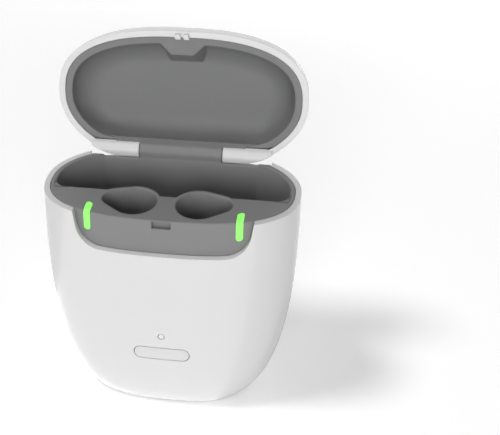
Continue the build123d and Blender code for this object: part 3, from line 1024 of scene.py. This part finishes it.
@dataclass
class LidLiner:
    """Grey liner of the lid: flat rim, soft bowl and the tab over the magnet. Sizes in millimetres."""

    rim_low: float = 0.32
    rim_thickness: float = 1.3
    rim_inset: float = 1.95
    rim_flat: float = 15.6
    rim_flat_power: float = 30.0
    rim_chamfer: float = 0.2
    band: float = 2.5
    depth: float = 10.2
    crown: float = 0.2
    side_draw: float = 9.0
    front_draw: float = 9.5
    back_flat: float = 15.2
    back_sweep: float = 11.2
    sweep_power: float = 5.0
    lip_round: float = 0.5
    lip_steps: int = 4
    depth_sweep: float = 88.0
    floor_shares: tuple[float, ...] = (0.75, 0.5, 0.25, 0.1)
    rings: int = 30
    count: int = 160
    skin: float = 1.2
    tab_half: float = 7.4
    tab_tip: float = 3.7
    tab_front: float = -19.6
    tab_root: float = -18.6
    tab_end: float = -15.0
    tab_spread: float = 2.0
    tab_reach: float = 4.5
    tab_sunk: float = 0.02
    tab_short: float = 0.6
    tab_shares: tuple[float, ...] = (0.0, 0.04, 0.5, 1.0)
    tab_rounding: float = 0.45
    tab_fold: float = 25.0

    def bowl_outline(self, share: float) -> Oval:
        """Gives the bowl's outline at one stage of its depth.

        Args:
            share: Share of the depth, 0 at the rim and 1 at the floor.

        Returns:
            The outline, round at the front and sides and gently swept at the back.
        """
        edge = self.rim_inset + self.band
        draw = 1 - math.sqrt(1 - share**2)
        sweep = 1 - (1 - share**2) ** (1 / self.sweep_power)
        return replace(
            MOUTH,
            half_width=MOUTH.half_width - edge - self.side_draw * draw,
            front=MOUTH.front - edge - self.front_draw * draw,
            back=MOUTH.back - edge,
            flat=self.back_flat - self.back_sweep * sweep,
        )

    def levels(self) -> list[tuple[Oval, float]]:
        """Stacks the liner's outlines from the rim's hidden side over its lip to the middle of the floor.

        Returns:
            Each outline with its height over the mouth of the shut lid.
        """
        flat = self.rim_flat + self.rim_inset
        outer = replace(MOUTH, flat=flat, flat_power=self.rim_flat_power).inset(self.rim_inset)
        levels = [
            (outer, self.rim_low + self.rim_thickness),
            (outer, self.rim_low + self.rim_chamfer),
            (outer.inset(self.rim_chamfer), self.rim_low),
        ]
        for step in range(self.lip_steps + 1):
            turn = math.pi / 2 * step / self.lip_steps
            grow = self.lip_round * (1 - math.sin(turn))
            rise = self.lip_round * (1 - math.cos(turn))
            levels.append((self.bowl_outline(0.0).inset(-grow), self.rim_low + rise))
        lip = self.rim_low + self.lip_round
        for ring in range(1, self.rings + 1):
            share = math.sin(math.radians(self.depth_sweep * ring / self.rings))
            levels.append((self.bowl_outline(share), lip + (self.depth - lip) * share))
        floor = levels[-1][0]
        for share in self.floor_shares:
            levels.append((floor.scaled(share), self.depth + self.crown * (1 - share**2)))
        return levels

    def build(self, material: bpy.types.Material) -> list[bpy.types.Object]:
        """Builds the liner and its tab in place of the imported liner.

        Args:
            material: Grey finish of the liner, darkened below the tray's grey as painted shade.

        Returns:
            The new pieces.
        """
        levels = self.levels()
        points = []
        for shape, height in levels:
            for step in range(self.count):
                points.append((*shape.point(2 * math.pi * step / self.count), height))
        faces = ring_faces(len(levels), self.count, caps=False)
        faces.append(tuple(range(len(points) - self.count, len(points))))
        liner = make_piece("lid_liner_bowl", points, faces, material, LID_PLACE)
        self.thicken(liner)
        tab = self.build_tab(material)
        for piece in (liner, tab):
            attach(piece, Body.LID.value)
        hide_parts("lid_liner")
        return [liner, tab]

    def thicken(self, piece: bpy.types.Object) -> None:
        """Gives the liner's skin its thickness, away from the side that shows."""
        solid = piece.modifiers.new("skin", "SOLIDIFY")
        solid.thickness = self.skin * MM
        solid.offset = -1.0

    def build_tab(self, material: bpy.types.Material) -> bpy.types.Object:
        """Builds the tab that hides the lid's magnet.

        Args:
            material: Grey finish of the liner, darkened below the tray's grey as painted shade.

        Returns:
            The new piece.
        """
        points = []
        for share in self.tab_shares:
            height = self.rim_low + self.tab_sunk + (self.depth - self.tab_short) * share
            half = self.tab_half + self.tab_spread * share
            tip = self.tab_tip + self.tab_spread * share
            end = self.tab_end + self.tab_reach * share
            corners = [(half, self.tab_front), (half, self.tab_root), (tip, end)]
            points.extend((-x, y, height) for x, y in corners)
            points.extend((x, y, height) for x, y in reversed(corners))
        count = len(points) // len(self.tab_shares)
        faces = ring_faces(len(self.tab_shares), count)
        tab = make_piece("lid_liner_tab", points, faces, material, LID_PLACE)
        soften(tab, self.tab_rounding, angle=self.tab_fold)
        return tab


@dataclass
class Trim:
    """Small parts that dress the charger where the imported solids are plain."""

    bar: LightBar = field(default_factory=LightBar)
    front: FrontTrim = field(default_factory=FrontTrim)
    slot: LatchSlot = field(default_factory=LatchSlot)
    corner: WellCorner = field(default_factory=WellCorner)
    liner: LidLiner = field(default_factory=LidLiner)

    def build(self, groups: Groups) -> None:
        """Builds every small part.

        Args:
            groups: Shared shader node groups.
        """
        lit = BAR_GREEN.build(groups)
        self.bar.build("right_bar_lens", "right_light_bar", 1, lit)
        self.bar.build("left_bar_lens", "left_light_bar", -1, lit)
        self.front.build_lens(LENS.build(groups))
        # The near-black sheet in the button's gap is painted shade.
        self.front.build_gap_shade(GAP_SHADE.build(groups))
        grey = GREY.build(groups)
        self.slot.build(grey)
        self.corner.build("well_corner_right", 1, grey)
        self.corner.build("well_corner_left", -1, grey)
        # The liner's darker grey is painted shade.
        self.liner.build(SHADED_LINER_GREY.build(groups))


def place_lamp(name: str, data: bpy.types.Light, place: Point, aim: Point) -> bpy.types.Object:
    """Puts a lamp in the scene and turns it to its target.

    Args:
        name: Name of the lamp.
        data: Light to show.
        place: Where the lamp stands.
        aim: Point that it lights.

    Returns:
        The lamp's object.
    """
    lamp = bpy.data.objects.new(name, data)
    lamp.location = place
    lamp.rotation_euler = (Vector(aim) - Vector(place)).to_track_quat("-Z", "Y").to_euler()
    bpy.context.scene.collection.objects.link(lamp)
    return lamp


@dataclass(frozen=True)
class Card:
    """One square area lamp aimed at a point, like a lit card in a studio."""

    name: str
    place: Point
    size: float
    power: float
    aim: Point = (0.0, 0.0, 0.055)

    def build(self) -> None:
        """Adds the card to the scene, out of sight of the gloss."""
        data = bpy.data.lights.new(self.name, "AREA")
        data.size = self.size
        data.energy = self.power
        place_lamp(self.name, data, self.place, self.aim).visible_glossy = False


@dataclass(frozen=True)
class GlossCard:
    """Square card that lies before the object and shows only in its gloss, with one edge as a sharp step."""

    name: str
    edge_point: tuple[float, float]
    edge_turn: float
    behind: float
    size: float
    power: float
    height: float = 0.0005

    def build(self) -> None:
        """Adds the card face up, to the left of the edge."""
        data = bpy.data.lights.new(self.name, "AREA")
        data.size = self.size
        data.energy = self.power
        turn = math.radians(self.edge_turn)
        along = Vector((math.cos(turn), math.sin(turn), 0.0))
        across = Vector((along.y, -along.x, 0.0))
        lamp = bpy.data.objects.new(self.name, data)
        start = Vector((*self.edge_point, self.height)) - along * self.behind
        lamp.location = start + (along + across) * (self.size / 2)
        lamp.rotation_euler = (math.pi, 0.0, turn)
        lamp.visible_camera = False
        lamp.visible_diffuse = False
        bpy.context.scene.collection.objects.link(lamp)


@dataclass(frozen=True)
class FarLamp:
    """Even light from one direction, softened by its angular size."""

    name: str
    toward: Point
    angle: float
    strength: float

    def build(self) -> None:
        """Adds the far lamp to the scene."""
        data = bpy.data.lights.new(self.name, "SUN")
        data.angle = math.radians(self.angle)
        data.energy = self.strength
        place_lamp(self.name, data, self.toward, (0.0, 0.0, 0.0))


@dataclass
class Studio:
    """Floor, lamps, pale surroundings and the camera at the photograph's view."""

    eye: Point = (0.0462, -0.2618, 0.2030)
    azimuth: float = 9.21
    elevation: float = 26.0
    lens: float = 65.3
    shift: tuple[float, float] = (0.1328, -0.0634)
    sensor_width: float = 36.0
    clip_start: float = 0.01
    floor_size: float = 6.0
    floor_roughness: float = 0.9
    floor_specular: float = 0.1
    floor_tone: float = 0.80
    seen_tone: float = 1.62
    floor_lift: float = 0.02
    ambient: float = 0.17
    lamps: tuple[FarLamp | Card | GlossCard, ...] = (
        FarLamp("key_lamp", toward=(-0.51, -0.17, 1.0), angle=15.0, strength=0.8),
        Card("front_card", place=(0.14, -1.6, 0.26), size=1.0, power=20.0),
        Card("back_card", place=(0.30, 1.5, 0.34), size=1.0, power=9.0),
        GlossCard(
            "front_gloss", edge_point=(0.030, -0.028), edge_turn=-46.5, behind=0.11, size=0.7, power=1.1
        ),
    )

    def build(self) -> None:
        """Builds the whole studio."""
        self.build_floor()
        self.build_world()
        for lamp in self.lamps:
            lamp.build()
        self.build_camera()

    def build_floor(self) -> None:
        """Adds the floor, white to the camera except where the object shades it."""
        mesh = bpy.data.meshes.new("floor")
        half = self.floor_size / 2
        corners = [(-half, -half, 0), (half, -half, 0), (half, half, 0), (-half, half, 0)]
        mesh.from_pydata(corners, [], [(0, 1, 2, 3)])
        floor = bpy.data.objects.new("floor", mesh)
        bpy.context.scene.collection.objects.link(floor)
        material, graph, shader = start_material("floor_paper")
        shader.inputs["Roughness"].default_value = self.floor_roughness
        shader.inputs["Specular IOR Level"].default_value = self.floor_specular
        shader.inputs["Emission Color"].default_value = (1.0, 1.0, 1.0, 1.0)
        seen = graph.seen_rays()
        tone = graph.math("MULTIPLY_ADD", seen, self.seen_tone - self.floor_tone, self.floor_tone)
        graph.link(tone, shader.inputs["Base Color"])
        graph.link(graph.math("MULTIPLY", seen, self.floor_lift), shader.inputs["Emission Strength"])
        mesh.materials.append(material)

    def build_world(self) -> None:
        """Sets pale surroundings that look white to the camera and in reflections."""
        world = bpy.data.worlds.new("surroundings")
        world.use_nodes = True
        bpy.context.scene.world = world
        graph = Graph(world.node_tree)
        backdrop = world.node_tree.nodes["Background"]
        backdrop.inputs["Color"].default_value = (1.0, 1.0, 1.0, 1.0)
        level = graph.math("MULTIPLY_ADD", graph.seen_rays(), 1.0 - self.ambient, self.ambient)
        graph.link(level, backdrop.inputs["Strength"])

    def build_camera(self) -> None:
        """Places the camera where the photograph was taken from."""
        data = bpy.data.cameras.new("photo_view")
        data.lens = self.lens
        data.sensor_width = self.sensor_width
        data.shift_x, data.shift_y = self.shift
        data.clip_start = self.clip_start
        camera = bpy.data.objects.new("photo_view", data)
        turn = math.radians(self.azimuth)
        tilt = math.radians(self.elevation)
        heading = Vector((-math.sin(turn) * math.cos(tilt), math.cos(turn) * math.cos(tilt), -math.sin(tilt)))
        camera.location = self.eye
        camera.rotation_euler = heading.to_track_quat("-Z", "Y").to_euler()
        bpy.context.scene.collection.objects.link(camera)
        bpy.context.scene.camera = camera
        bpy.context.scene.view_settings.view_transform = "Standard"


def main() -> None:
    """Builds the dressed charger piece by piece."""
    logging.basicConfig(level=logging.INFO, format="%(name)s: %(message)s")
    groups = Groups()
    for part in (Casing(), Electronics(), Trim()):
        part.build(groups)
        log.info("built %s", type(part).__name__)
    Studio().build()


if __name__ == "__main__":
    main()
